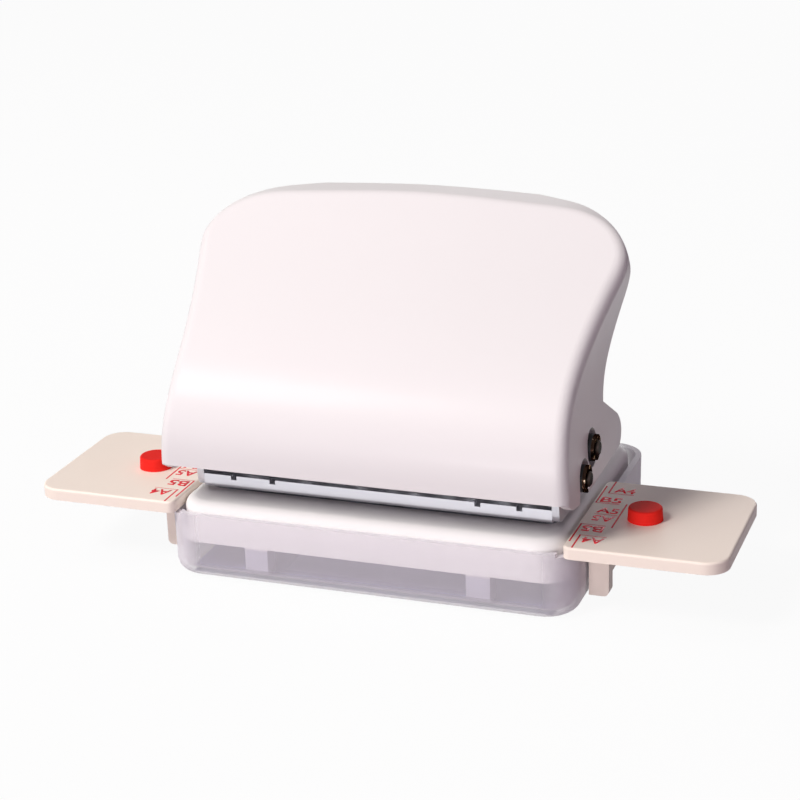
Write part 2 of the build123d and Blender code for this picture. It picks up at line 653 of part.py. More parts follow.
def web_drill(x, start, end, radius):
    """A round bar through the web, square to it, between two depths under the skin."""
    _, slope = web_frame()
    y, z = on_web((WEB_FROM + WEB_TO) / 2, start)
    across = Plane((x, y, z), x_dir=(1, 0, 0), z_dir=(0, sin(slope), -cos(slope)))
    return extrude(across * Circle(radius), end - start)


def lever_screws():
    screws = []
    for x in BRACKET_SCREWS:
        seat = WEB_DEPTH + ARM_T
        head = web_drill(x, seat, seat + 1.4, BRACKET_SCREW_D)
        screws.append(head + web_drill(x, COVER_WALL + 1.2, seat, BRACKET_SCREW_D / 2))
    return Compound(screws)


# ---------------------------------------------------------------- side guides and their pegs
def guide():
    """Right-hand guide: table plate, hooked flange with a leg, and a tongue that clips into the base."""
    outline = Pos((GUIDE_IN + GUIDE_OUT) / 2, 0) * Rectangle(GUIDE_OUT - GUIDE_IN, GUIDE_DEPTH)
    by_x = outline.vertices().sort_by(Axis.X)
    outline = fillet(by_x[2:], GUIDE_CORNER)
    outline = fillet(outline.vertices().sort_by(Axis.X)[:2], 1.2)
    plate = prism_z(outline, above(-GUIDE_T), TABLE)
    plate = fillet(plate.faces().sort_by(Axis.Z)[-1].edges(), 0.4)
    under = above(-GUIDE_T)
    reach = (FLANGE_FRONT, FLANGE_REAR)
    body = plate + block((GUIDE_IN, FLANGE_OUT), reach, (above(-BLOCK_DEPTH), under))
    flange = block((FLANGE_IN, FLANGE_OUT), reach, (above(-FLANGE_DEPTH), under))
    flange += block((FLANGE_IN, FLANGE_OUT), (FLANGE_FRONT, FLANGE_FRONT + 2.4), (above(-LEG_DEPTH), under))
    toe = flange.edges().filter_by(Axis.Y).group_by(Axis.Z)[0].sort_by(Axis.X)[-1]
    flange = fillet(toe, 0.9)
    core = (FLANGE_IN + 1.1, FLANGE_OUT - 1.1)
    flange -= block(core, (FLANGE_FRONT + 3.4, FLANGE_REAR - 1.1), (0, above(-BLOCK_DEPTH)))
    body += flange
    body += block((TONGUE_IN, GUIDE_IN), (TONGUE_FRONT, TONGUE_REAR),
                  (above(-BLOCK_DEPTH), above(-BLOCK_DEPTH + TONGUE_T)))
    x = peg_x()
    body += rod_z(BOSS_D / 2, above(-BOSS_DEPTH), under, x)
    for y in (-PEG_D * 1.6, PEG_D * 1.6):
        rib = Polyline((FLANGE_OUT - 0.5, above(-GUIDE_T - 1.8)), (x + 4, above(-GUIDE_T - 1.5)),
                       (GUIDE_OUT - 4, under + 0.1), (FLANGE_OUT - 0.5, under + 0.1), close=True)
        body += prism_y(make_face(rib), y - 0.6, y + 0.6)
    body -= rod_z(PEG_FLANGE_D / 2 + 0.15, 0, under, x)
    body -= rod_z(PEG_D / 2 + 0.02 + RUN, 0, 2 * TABLE, x)
    return body


def peg_x():
    return PEG_PLACE * PITCH


def peg():
    """Hollow sprung peg with a flange that stops it under the table plate."""
    r, top = PEG_D / 2, above(PEG_TALL)
    stop = above(-GUIDE_T) - FACE
    low = stop - PEG_FLANGE_T
    wide = PEG_FLANGE_D / 2
    profile = Polyline((0, top), (r - 0.1, top), (r + 0.02, TABLE), (r + 0.02, stop), (wide, stop),
                       (wide, low), (r - PEG_WALL, low), (r - PEG_WALL, top - 0.9), (0, top - 0.9), close=True)
    body = revolve(Plane.XZ * make_face(profile), Axis.Z)
    rim = body.edges().filter_by(GeomType.CIRCLE).group_by(Axis.Z)[-1]
    return Pos(peg_x(), 0, 0) * fillet(rim, 0.35)


def peg_cap():
    """Disc that closes the boss under a peg and centres the spring."""
    low = above(-BOSS_DEPTH)
    disc = rod_z(PEG_FLANGE_D / 2 + 0.15 - FIXED, low, low + CAP_T)
    return Pos(peg_x(), 0, 0) * (disc + rod_z(PEG_D / 2 - PEG_WALL - PEG_WIRE - 0.4, low, low + CAP_T + 0.8))


def peg_spring():
    """Spring under a peg, as the plain sleeve that its turns fill: it is closed in on all sides."""
    outer = PEG_D / 2 - PEG_WALL - 0.2
    low, high = above(-BOSS_DEPTH) + CAP_T, above(PEG_TALL) - 0.9
    return rod_z(outer, low, high, peg_x()) - rod_z(outer - PEG_WIRE, low, high, peg_x())


# ---------------------------------------------------------------- the whole machine
def all_parts():
    near_arm = FRAME_HALF + ARM_GAP + ARM_T
    parts = {
        "chip_tray": tray(),
        "base_body": base(),
        "die_plate": die(),
        "punch_frame": punch_frame(),
        "pin_guide_bridge": bridge(),
        "frame_screws": frame_screws(),
        "pivot_shaft": cross_shaft(PIVOT_Y, PIVOT_Z),
        "drive_shaft": cross_shaft(0, DRIVE_Z),
        "lever_cover": lever_cover(),
        "lever_bracket": lever_bracket(),
        "lever_screws": lever_screws(),
    }
    for side, name in ((-1, "left"), (1, "right")):
        parts[f"pivot_bush_{name}"] = bush(side, PIVOT_Y, PIVOT_Z, near_arm + ARM_GAP)
        parts[f"drive_bush_{name}"] = bush(side, 0, DRIVE_Z, near_arm)
        parts[f"pivot_clip_{name}"] = shaft_clip(side, PIVOT_Y, PIVOT_Z, 25)
        parts[f"drive_clip_{name}"] = shaft_clip(side, 0, DRIVE_Z, -15)
    spring = coil(*punch_spring_size())
    for number, x in enumerate(punch_places(), 1):
        parts[f"punch_{number}"] = punch(x)
        parts[f"punch_spring_{number}"] = Pos(x, 0, 0) * spring
    beside = {"guide": guide(), "peg": peg(), "peg_cap": peg_cap(), "peg_spring": peg_spring()}
    for name, shape in beside.items():
        parts[f"{name}_right"] = shape
        parts[f"{name}_left"] = mirrored(shape)
    return parts


if __name__ == "__main__":
    os.makedirs("parts", exist_ok=True)
    for name, shape in all_parts().items():
        export_step(shape, f"parts/{name}.step")
    print(f"lever swing {SWING} deg, punch stroke {STROKE:.3f} mm, drift of the drive shaft {DRIFT:.3f} mm")
    print(f"punch spring: least gap from turn to turn {least_gap(*punch_spring_size()):.2f} mm")
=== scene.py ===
"""Looks of a hand lever punch for loose-leaf paper: a glossy white lever over a steel punch frame,
ivory side guides with red marks and pegs, and a frosted chip tray.

Metres, X to the right, Y to the back, Z up, with the desk at Z = 0.  Sizes are written in
millimetres and turned into metres by MM where they are used.
"""
import bpy
import bmesh
from math import atan2, cos, pi, radians, sin
from mathutils import Matrix, Vector


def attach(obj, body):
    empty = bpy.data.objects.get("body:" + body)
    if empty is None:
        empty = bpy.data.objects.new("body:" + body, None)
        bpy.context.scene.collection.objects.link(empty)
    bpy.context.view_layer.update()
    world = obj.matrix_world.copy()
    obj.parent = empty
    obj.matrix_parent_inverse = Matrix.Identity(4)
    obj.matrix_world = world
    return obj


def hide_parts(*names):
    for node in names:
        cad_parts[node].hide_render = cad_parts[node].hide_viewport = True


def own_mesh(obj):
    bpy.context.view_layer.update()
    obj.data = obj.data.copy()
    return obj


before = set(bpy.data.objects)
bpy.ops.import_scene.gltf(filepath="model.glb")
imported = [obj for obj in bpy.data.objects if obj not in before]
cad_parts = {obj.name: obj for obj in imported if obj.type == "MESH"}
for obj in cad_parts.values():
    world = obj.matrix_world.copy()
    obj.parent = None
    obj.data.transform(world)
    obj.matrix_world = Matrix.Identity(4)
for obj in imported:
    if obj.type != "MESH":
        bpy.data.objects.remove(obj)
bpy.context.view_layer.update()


MM = 0.001
TABLE = 12.9                # height of the paper table over the desk
FRONT = -15.5               # y of the machine's front
PITCH = 9.5                 # between punches
PUNCHES = 6
PEG_AT = 4.5 * PITCH        # from the middle to each peg
SIDES = ((-1, "left"), (1, "right"))

CREASE = 35                 # degrees between faces that stay sharp
TURNED_STEPS = 48           # round a turned piece
COIL_STEPS = 40             # points on one turn of a spring
WIRE_STEPS = 12             # round the wire of a spring
SOFT_EDGE = 0.3             # half width of the edge of a painted area


# ---------------------------------------------------------------- shader sums
class Value:
    """A socket in a node tree that takes part in sums."""

    def __init__(self, tree, socket):
        self.tree = tree
        self.socket = socket

    def sum(self, operation, left, right):
        return node(self.tree, "ShaderNodeMath", {"operation": operation}, {0: left, 1: right})

    def __add__(self, other):
        return self.sum("ADD", self, other)

    def __mul__(self, other):
        return self.sum("MULTIPLY", self, other)

    def __rsub__(self, other):
        return self.sum("SUBTRACT", other, self)


def node(tree, kind, settings=None, inputs=None, output=0):
    """Adds a node: first its settings, then the values or links of its sockets."""
    made = tree.nodes.new(kind)
    for key, value in (settings or {}).items():
        setattr(made, key, value)
    for key, value in (inputs or {}).items():
        socket = made.inputs[key]
        if isinstance(value, Value):
            tree.links.new(value.socket, socket)
        else:
            socket.default_value = value
    return Value(tree, made.outputs[output])


class Finish:
    """A material: its coordinates, noises, bumps and final skin."""

    def __init__(self, name):
        self.material = bpy.data.materials.new(name)
        self.material.use_nodes = True
        self.tree = self.material.node_tree
        self.tree.nodes.clear()
        self.place = self.add("ShaderNodeTexCoord", output="Object")

    def add(self, kind, settings=None, inputs=None, output=0):
        return node(self.tree, kind, settings, inputs, output)

    def noise(self, size, detail=2.0, rough=0.5, stretch=(1, 1, 1)):
        """Noise from 0 to 1 with features of a size in millimetres."""
        place = self.place
        if stretch != (1, 1, 1):
            place = self.add("ShaderNodeMapping", None, {"Vector": place, "Scale": stretch})
        return self.add("ShaderNodeTexNoise", {"noise_dimensions": "3D"},
                        {"Vector": place, "Scale": 1 / (size * MM), "Detail": detail,
                         "Roughness": rough})

    def axis(self, name):
        return self.add("ShaderNodeSeparateXYZ", None, {0: self.place}, name)

    def across(self):
        """Distance from the middle of the machine, to both sides."""
        return self.add("ShaderNodeMath", {"operation": "ABSOLUTE"}, {0: self.axis("X")})

    def step(self, value, low, high):
        """0 below low, 1 above high, and smooth between."""
        return self.add("ShaderNodeMapRange", {"interpolation_type": "SMOOTHSTEP"},
                        {"Value": value, "From Min": low, "From Max": high})

    def rise(self, place, low, high):
        """A step along a length, with its ends in millimetres."""
        return self.step(place, low * MM, high * MM)

    def beyond(self, place, edge):
        """1 past an edge in millimetres, with a soft border."""
        return self.rise(place, edge - SOFT_EDGE, edge + SOFT_EDGE)

    def floor_area(self, half, front, back):
        """1 on a rectangle of the floor of the tray, with soft edges."""
        along = self.axis("Y")
        low = 1 - self.rise(self.axis("Z"), 1.2, 1.8)
        inside = (1 - self.beyond(self.across(), half)) * low
        return inside * self.beyond(along, front) * (1 - self.beyond(along, back))

    def uneven_gloss(self, middle):
        """Roughness about a middle value, with patches and specks."""
        return self.noise(3.0, 3.0) * 0.04 + self.noise(0.3, 2.0) * 0.05 + (middle - 0.045)

    def mix(self, mask, first, second):
        return self.add("ShaderNodeMix", {"data_type": "RGBA"}, {0: mask, 6: first, 7: second}, 2)

    def bump(self, height, depth, strength=1.0, over=None):
        """Surface relief with a depth in millimetres."""
        inputs = {"Height": height, "Distance": depth * MM, "Strength": strength}
        if over is not None:
            inputs["Normal"] = over
        return self.add("ShaderNodeBump", None, inputs)

    def skin(self, **sockets):
        names = {key.replace("_", " "): value for key, value in sockets.items()}
        surface = self.add("ShaderNodeBsdfPrincipled", None, names)
        self.add_output(surface)
        return self.material

    def add_output(self, surface):
        out = self.tree.nodes.new("ShaderNodeOutputMaterial")
        self.tree.links.new(surface.socket, out.inputs["Surface"])


def rgb(red, green, blue):
    return (red, green, blue, 1.0)


WHITE = rgb(1, 1, 1)
DARK_EDGE = rgb(0.25, 0.2, 0.18)        # what oiled metal reflects at a slant


# ---------------------------------------------------------------- finishes
def moulded(name, light, dark, rough, grain, grain_depth, coat=0.0, mottle=14.0, shine=0.3):
    """Injection-moulded plastic: faint colour clouds, fine grain and uneven gloss.

    The grain, its depth and the clouds (mottle) are sizes in millimetres.
    """
    finish = Finish(name)
    clouds = finish.noise(mottle, 3.0)
    speckle = finish.noise(0.5, 2.0)
    colour = finish.mix(clouds * 0.75 + speckle * 0.25, rgb(*light), rgb(*dark))
    waves = finish.bump(finish.noise(9.0, 1.0), 0.003)
    relief = finish.bump(finish.noise(grain, 2.0), grain_depth, 1.0, waves)
    return finish.skin(Base_Color=colour, Roughness=finish.uneven_gloss(rough), Normal=relief,
                       Coat_Weight=coat, Coat_Roughness=0.12, IOR=1.5, Specular_IOR_Level=shine)


def base_plastic():
    """Satin white plastic of the base; below the skirt each leg is painted a greyer blue, a painted
    shade.
    """
    finish = Finish("satin_white_base")
    clouds = finish.noise(14.0, 3.0)
    leg_shade = 1 - finish.rise(finish.axis("Z"), 5.2, 6.0)
    colour = finish.mix(clouds, rgb(0.91, 0.89, 0.875), rgb(0.89, 0.87, 0.86))
    # painted shade: below the skirt the white is mixed towards a dark blue-grey
    colour = finish.mix(leg_shade * 0.9, colour, rgb(0.5, 0.49, 0.58))
    relief = finish.bump(finish.noise(0.25, 2.0), 0.003)
    return finish.skin(Base_Color=colour, Roughness=finish.uneven_gloss(0.4), Normal=relief,
                       IOR=1.5, Specular_IOR_Level=0.1)


def frosted_plastic():
    """Clear plastic with a ground surface: milkier at a slant, at its rear and ends and on its
    floor, and clearer along its foot. Its floor is painted dark blue-violet, lighter on a middle
    panel: a painted shadow of the base over it."""
    finish = Finish("frosted_tray")
    clouds = finish.noise(11.0, 3.0)
    grain = finish.noise(0.22, 2.0)
    streaks = finish.noise(0.6, 2.0, 0.5, (0.12, 1, 1))
    foot = 1 - finish.rise(finish.axis("Z"), 0.5, 1.0)
    rear = finish.rise(finish.axis("Y"), -4.0, 14.0)
    ends = finish.rise(finish.across(), 29.0, 33.0)
    floor = finish.floor_area(31.0, -11.8, 32.0)
    panel = finish.floor_area(15.5, -9.4, 20.0)
    colour = finish.mix(clouds, rgb(0.94, 0.905, 0.96), rgb(0.96, 0.925, 0.975))
    # painted shadow: the floor of the tray is coloured dark blue-violet, lighter on the middle
    # panel
    floor_shadow_paint = finish.mix(panel, rgb(0.34, 0.33, 0.62), rgb(0.58, 0.56, 0.92))
    colour = finish.mix(floor * 0.9, colour, floor_shadow_paint)
    slant = finish.add("ShaderNodeLayerWeight", None, {"Blend": 0.5}, "Facing")
    veil = clouds * 0.03 + slant * 0.5 + rear * 0.12 + ends * 0.25 + floor * 0.42
    veil = veil + (0.15 - foot * 0.12)
    veil = finish.add("ShaderNodeClamp", None, {"Value": veil, "Max": 0.94})
    gloss = grain * 0.08 + streaks * 0.04 + 0.38
    return finish.skin(Base_Color=colour, Alpha=veil, Roughness=gloss,
                       Normal=finish.bump(grain, 0.002), IOR=1.45, Specular_IOR_Level=0.25)


def rolled_steel(name, light, dark, rough, run=(0.03, 1, 1), edge=WHITE):
    """Steel with soft stains and fine marks, which run long where run is small."""
    finish = Finish(name)
    lines = finish.noise(0.16, 4.0, 0.6, run)
    stains = finish.noise(4.0, 3.0)
    colour = finish.mix(stains * 0.5 + lines * 0.5, rgb(*light), rgb(*dark))
    gloss = lines * 0.16 + stains * 0.08 + (rough - 0.12)
    relief = finish.bump(lines, 0.004, 0.6)
    return finish.skin(Base_Color=colour, Metallic=0.85, Roughness=gloss, Normal=relief,
                       Specular_Tint=edge)


def bronzed_steel():
    """Blued and oiled spring steel of the split clips, with bright gold patches at random: part
    wear and part painted glints.
    """
    finish = Finish("bronzed_clips")
    patches = finish.noise(0.5, 3.0)
    wear_and_glint = finish.step(finish.noise(0.7, 2.0), 0.6, 0.7)
    colour = finish.mix(patches, rgb(0.02, 0.013, 0.011), rgb(0.085, 0.05, 0.032))
    # bright gold patches: wear and painted glints
    colour = finish.mix(wear_and_glint, colour, rgb(0.9, 0.7, 0.5))
    gloss = patches * 0.15 + 0.16
    return finish.skin(Base_Color=colour, Metallic=1.0, Roughness=gloss, Specular_Tint=DARK_EDGE,
                       Normal=finish.bump(finish.noise(0.2, 2.0), 0.006))


def printed_ink():
    """Red pad-printed ink, a little thinner in spots."""
    finish = Finish("printed_red")
    thin = finish.step(finish.noise(0.25, 3.0), 0.3, 0.75)
    colour = finish.mix(thin, rgb(0.7, 0.009, 0.025), rgb(0.76, 0.04, 0.05))
    return finish.skin(Base_Color=colour, Roughness=finish.noise(0.3) * 0.1 + 0.42,
                       Specular_IOR_Level=0.1)


COVER = moulded("glossy_white_cover", (0.82, 0.785, 0.787), (0.81, 0.776, 0.778), rough=0.3,
                grain=0.9, grain_depth=0.0005, coat=0.02, mottle=22.0, shine=0.08)
BASE = base_plastic()
IVORY = moulded("ivory_guides", (0.97, 0.86, 0.765), (0.95, 0.835, 0.74), rough=0.42,
                grain=0.2, grain_depth=0.008, mottle=9.0, shine=0.15)
RED = moulded("red_pegs", (0.84, 0.028, 0.02), (0.74, 0.018, 0.014), rough=0.52,
              grain=0.3, grain_depth=0.003, mottle=2.0, shine=0.03)
BLACK = moulded("black_bushes", (0.03, 0.03, 0.033), (0.018, 0.018, 0.02), rough=0.45,
                grain=0.2, grain_depth=0.006)
TRAY = frosted_plastic()
PLATED = rolled_steel("plated_sheet", (0.72, 0.72, 0.76), (0.64, 0.64, 0.69), 0.32)
DIE_STEEL = rolled_steel("ground_die", (0.6, 0.61, 0.63), (0.5, 0.51, 0.53), 0.26)
SHAFT_STEEL = rolled_steel("bronzed_shafts", (0.06, 0.045, 0.04), (0.025, 0.02, 0.018), 0.3,
                           run=(1, 0.2, 0.2), edge=DARK_EDGE)
TOOL_STEEL = rolled_steel("ground_punches", (0.66, 0.66, 0.69), (0.52, 0.52, 0.55), 0.24,
                          run=(1, 1, 0.08))
WIRE_STEEL = rolled_steel("drawn_wire", (0.6, 0.6, 0.62), (0.45, 0.45, 0.48), 0.28, run=(1, 1, 1))
BRONZE = bronzed_steel()
INK = printed_ink()

NODE_FINISHES = {"lever_cover": COVER, "base_body": BASE, "chip_tray": TRAY, "die_plate": DIE_STEEL,
                 "punch_frame": PLATED, "pin_guide_bridge": PLATED, "lever_bracket": PLATED,
                 "frame_screws": PLATED, "lever_screws": PLATED, "pivot_shaft": SHAFT_STEEL,
                 "drive_shaft": SHAFT_STEEL}
for _, side in SIDES:
    NODE_FINISHES.update({f"guide_{side}": IVORY, f"peg_cap_{side}": IVORY, f"peg_{side}": RED,
                          f"peg_spring_{side}": WIRE_STEEL})
    for shaft in ("pivot", "drive"):
        NODE_FINISHES.update({f"{shaft}_bush_{side}": BLACK, f"{shaft}_clip_{side}": BRONZE})
for number in range(1, PUNCHES + 1):
    NODE_FINISHES.update({f"punch_{number}": TOOL_STEEL, f"punch_spring_{number}": WIRE_STEEL})
for name, material in NODE_FINISHES.items():
    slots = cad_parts[name].data.materials
    slots.clear()
    slots.append(material)


# ---------------------------------------------------------------- mesh helpers
def keep(mesh, name, material):
    """Puts a mesh into the scene as an object with one material."""
    piece = bpy.data.objects.new(name, mesh)
    bpy.context.scene.collection.objects.link(piece)
    mesh.materials.clear()
    mesh.materials.append(material)
    return piece


def evaluated(piece, name, material):
    """A plain mesh of what the modifiers of a piece make."""
    graph = bpy.context.evaluated_depsgraph_get()
    mesh = bpy.data.meshes.new_from_object(piece.evaluated_get(graph), depsgraph=graph)
    bpy.data.objects.remove(piece)
    return keep(mesh, name, material)


def smooth(piece):
    mesh = piece.data
    mesh.polygons.foreach_set("use_smooth", [True] * len(mesh.polygons))
    mesh.set_sharp_from_angle(angle=radians(CREASE))
    return piece


def written(made, mesh):
    """The mesh with what was made in it, its faces turned outward."""
    bmesh.ops.recalc_face_normals(made, faces=made.faces)
    made.to_mesh(mesh)
    made.free()
    return mesh


def turned(profile):
    """A mesh turned about Z from (radius, height) points in millimetres, closed at its poles."""
    steps = TURNED_STEPS
    made = bmesh.new()
    rings = []
    for radius, height in profile:
        if radius == 0:
            rings.append([made.verts.new((0, 0, height * MM))])
        else:
            rings.append([made.verts.new((radius * MM * cos(2 * pi * i / steps),
                                          radius * MM * sin(2 * pi * i / steps), height * MM))
                          for i in range(steps)])
    for low, high in zip(rings, rings[1:]):
        for i in range(steps):
            j = (i + 1) % steps
            corners_of_face = [low[i % len(low)], low[j % len(low)],
                               high[j % len(high)], high[i % len(high)]]
            made.faces.new(list(dict.fromkeys(corners_of_face)))
    return written(made, bpy.data.meshes.new("turned"))


def slab(outline, low, high):
    """A flat piece between two heights from an outline in (x, y), all in millimetres."""
    made = bmesh.new()
    bottom = [made.verts.new((x * MM, y * MM, low * MM)) for x, y in outline]
    top = [made.verts.new((x * MM, y * MM, high * MM)) for x, y in outline]
    made.faces.new(bottom[::-1])
    made.faces.new(top)
    for i in range(len(outline)):
        j = (i + 1) % len(outline)
        made.faces.new([bottom[i], bottom[j], top[j], top[i]])
    return written(made, bpy.data.meshes.new("slab"))


def joined(meshes, name, material):
    """One piece from several meshes."""
    made = bmesh.new()
    for mesh in meshes:
        made.from_mesh(mesh)
        bpy.data.meshes.remove(mesh)
    mesh = bpy.data.meshes.new(name)
    made.to_mesh(mesh)
    made.free()
    return keep(mesh, name, material)


# ---------------------------------------------------------------- grown pieces
class Growth:
    """A geometry tree with named inputs, made into a plain mesh."""

    def __init__(self, name):
        self.tree = bpy.data.node_groups.new(name, "GeometryNodeTree")
        self.tree.interface.new_socket("Geometry", in_out="OUTPUT",
                                       socket_type="NodeSocketGeometry")
        self.start = self.tree.nodes.new("NodeGroupInput")
        self.values = {}

    def size(self, name, value):
        """A named input of the tree with its value."""
        self.tree.interface.new_socket(name, in_out="INPUT", socket_type="NodeSocketFloat")
        self.values[name] = value
        return Value(self.tree, self.start.outputs[name])

    def add(self, kind, settings=None, inputs=None, output=0):
        return node(self.tree, kind, settings, inputs, output)

    def finish(self, geometry, name, material):
        real = self.add("GeometryNodeRealizeInstances", None, {0: geometry})
        skinned = self.add("GeometryNodeSetMaterial", None,
                           {"Geometry": real, "Material": material})
        out = self.tree.nodes.new("NodeGroupOutput")
        self.tree.links.new(skinned.socket, out.inputs[0])
        piece = keep(bpy.data.meshes.new(name), name, material)
        modifier = piece.modifiers.new("grow", "NODES")
        modifier.node_group = self.tree
        for item in self.tree.interface.items_tree:
            if item.in_out == "INPUT" and item.name in self.values:
                modifier[item.identifier] = self.values[item.name]
        return smooth(evaluated(piece, name, material))


def coil_spring(name, x, mean_r, low, high, wire, active):
    """A compression spring that stands at (x, 0), with a closed turn at each end."""
    growth = Growth(name + "_tree")
    radius = growth.size("Mean radius", mean_r * MM)
    gauge = growth.size("Wire", wire * MM)
    open_rise = growth.size("Rise of the open turns", (high - low - 3 * wire) * MM)
    turns = growth.size("Turns", float(active + 2))
    spiral = growth.add("GeometryNodeCurveSpiral", None,
                        {"Resolution": COIL_STEPS, "Rotations": turns, "Start Radius": radius,
                         "End Radius": radius, "Height": 0.0})
    along = growth.add("GeometryNodeSplineParameter")
    closed = 1 / (active + 2)

    def part(first, last):
        return growth.add("ShaderNodeMapRange", None,
                          {"Value": along, "From Min": first, "From Max": last})

    ends = part(0.0, closed) + part(1 - closed, 1.0)
    height = ends * gauge + part(closed, 1 - closed) * open_rise
    lift = growth.add("ShaderNodeCombineXYZ", None, {"Z": height})
    raised = growth.add("GeometryNodeSetPosition", None, {"Geometry": spiral, "Offset": lift})
    section = growth.add("GeometryNodeCurvePrimitiveCircle", None,
                         {"Resolution": WIRE_STEPS, "Radius": gauge * 0.5})
    tube = growth.add("GeometryNodeCurveToMesh", None,
                      {"Curve": raised, "Profile Curve": section, "Fill Caps": True})
    holder = keep(bpy.data.meshes.new(name + "_places"), name + "_places", WIRE_STEEL)
    holder.data.from_pydata([(x * MM, 0, (low + wire / 2) * MM)], [], [])
    stand = growth.add("GeometryNodeObjectInfo", None, {"Object": holder}, "Geometry")
    spread = growth.add("GeometryNodeInstanceOnPoints", None, {"Points": stand, "Instance": tube})
    piece = growth.finish(spread, name, WIRE_STEEL)
    bpy.data.objects.remove(holder)
    return piece


def set_on(name, mesh, placings, material):
    """Copies of one mesh at placings, each a point in millimetres and the direction of its axis."""
    pattern = keep(mesh, name + "_pattern", material)
    holder = keep(bpy.data.meshes.new(name + "_places"), name + "_places", material)
    holder.data.from_pydata([Vector(place) * MM for place, _ in placings], [], [])
    facing = holder.data.attributes.new("facing", "FLOAT_VECTOR", "POINT")
    for item, (_, axis) in zip(facing.data, placings):
        item.vector = axis
    growth = Growth(name + "_tree")
    stand = growth.add("GeometryNodeObjectInfo", None, {"Object": holder}, "Geometry")
    shape = growth.add("GeometryNodeObjectInfo", None, {"Object": pattern}, "Geometry")
    stored = growth.add("GeometryNodeInputNamedAttribute", {"data_type": "FLOAT_VECTOR"},
                        {"Name": "facing"})
    turn = growth.add("FunctionNodeAlignRotationToVector", {"axis": "Z"}, {"Vector": stored})
    spread = growth.add("GeometryNodeInstanceOnPoints", None,
                        {"Points": stand, "Instance": shape, "Rotation": turn})
    piece = growth.finish(spread, name, material)
    bpy.data.objects.remove(holder)
    bpy.data.objects.remove(pattern)
    return piece


# ---------------------------------------------------------------- screws and springs
def screw_profile(head_r, head_t, shank_r, length):
    """Half the outline of a pan-head screw from its tip up, as (radius, height) points."""
    pitch, depth = shank_r * 0.45, 0.12 * shank_r
    tip, plain = 0.5, 0.7               # no thread at the tip and under the head
    bevel = 0.12                        # at the foot of the head
    rim, fall, steps = 0.35, 0.42, 8    # the dome: where it starts, how far it falls in, its steps
    profile = [(0, -length), (shank_r * 0.6, -length), (shank_r - depth, -length + 0.4)]
    for i in range(int((length - tip - plain) / pitch)):
        z = -length + tip + i * pitch
        profile += [(shank_r - depth, z), (shank_r, z + pitch * 0.5)]
    profile += [(shank_r, -0.5), (shank_r, 0), (head_r - bevel, 0), (head_r, bevel),
                (head_r, head_t * rim)]
    for i in range(1, steps):
        a = pi / 2 * i / steps
        profile.append((head_r * (1 - fall * (1 - cos(a))), head_t * (rim + (1 - rim) * sin(a))))
    return profile + [(head_r * 0.4, head_t), (0, head_t)]


def cross_recess(arm, half, low, high, taper):
    """A cutter for a cross recess, drawn in by the taper at its bottom."""
    cross = []
    for i in range(4):
        c, s = cos(pi / 2 * i), sin(pi / 2 * i)
        for x, y in ((half, -arm), (half, -half), (arm, -half)):
            cross.append((x * c - y * s, x * s + y * c))
    cutter = keep(slab(cross[1:] + cross[:1], low, high), "screw_recess", PLATED)
    for vertex in cutter.data.vertices:
        if vertex.co.z < (low + high) / 2 * MM:
            vertex.co.x *= taper
            vertex.co.y *= taper
    return cutter


def cross_screw(head_r, head_t, shank_r, length):
    """A pan-head screw with a cross recess; the underside of its head is at the origin."""
    head = keep(turned(screw_profile(head_r, head_t, shank_r, length)), "screw_blank", PLATED)
    cutter = cross_recess(head_r * 0.62, head_r * 0.13, head_t * 0.4, head_t * 1.5, 0.62)
    cut = head.modifiers.new("recess", "BOOLEAN")
    cut.operation = "DIFFERENCE"
    cut.solver = "EXACT"
    cut.object = cutter
    piece = smooth(evaluated(head, "screw", PLATED))
    bpy.data.objects.remove(cutter)
    mesh = piece.data
    bpy.data.objects.remove(piece)
    return mesh


frame_screws = set_on("frame_screws_detailed",
                      cross_screw(head_r=2.6, head_t=1.7, shank_r=1.5, length=8.4),
                      [((x, 12.6, TABLE + 2.4), (0, 0, 1)) for x in (-20, 0, 20)], PLATED)
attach(frame_screws, "base")
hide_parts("frame_screws")

# two points of the lever's front skin: back from the front, and up from the table
SKIN_FRONT, SKIN_BACK = (13.2, 29.1), (23.0, 36.6)
SLOPE = atan2(SKIN_BACK[1] - SKIN_FRONT[1], SKIN_BACK[0] - SKIN_FRONT[0])
INWARD = (0, sin(SLOPE), -cos(SLOPE))


def under_skin(along, depth):
    """The (y, z) of a point along the slope from SKIN_FRONT and inward from it."""
    y, z = FRONT + SKIN_FRONT[0], TABLE + SKIN_FRONT[1]
    return (y + along * cos(SLOPE) + depth * sin(SLOPE),
            z + along * sin(SLOPE) - depth * cos(SLOPE))


seats = [((x, *under_skin(1.0, 5.4)), INWARD) for x in (-16, 16)]
lever_screws = set_on("lever_screws_detailed",
                      cross_screw(head_r=1.8, head_t=1.4, shank_r=0.9, length=2.8), seats, PLATED)
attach(lever_screws, "lever")
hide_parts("lever_screws")

PUNCH_SEAT = TABLE + 2.1            # where the springs of the punches stand
PEG_SEAT = TABLE - 5.0              # and those of the pegs
for number in range(1, PUNCHES + 1):
    x = (number - (PUNCHES + 1) / 2) * PITCH
    spring = coil_spring(f"punch_coil_{number}", x, mean_r=3.3, low=PUNCH_SEAT, high=TABLE + 6.1,
                         wire=0.5, active=2)
    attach(spring, "base")
    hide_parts(f"punch_spring_{number}")
    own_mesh(spring)
for side, name in SIDES:
    x = side * PEG_AT
    spring = coil_spring(f"peg_coil_{name}", x, mean_r=1.7, low=PEG_SEAT, high=TABLE + 1.2,
                         wire=0.4, active=5)
    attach(spring, f"guide_{name}")
    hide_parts(f"peg_spring_{name}")
    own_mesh(spring)


# ---------------------------------------------------------------- printed marks on the guides
INK_LOW = TABLE + 0.002             # the underside of the print, just over the plates
INK_THICK = 0.012
EDGE_LINE = 0.28                    # width of the lines along the sheets' edges
UNDERLINE = 0.13                    # and of those under the names
A4_EDGE, B5_EDGE, A5_EDGE = 34.5, 33.5, 38.5        # the sheets' edges, from the middle
OUTSIDE = 0.05                      # from an edge to the middle of its line


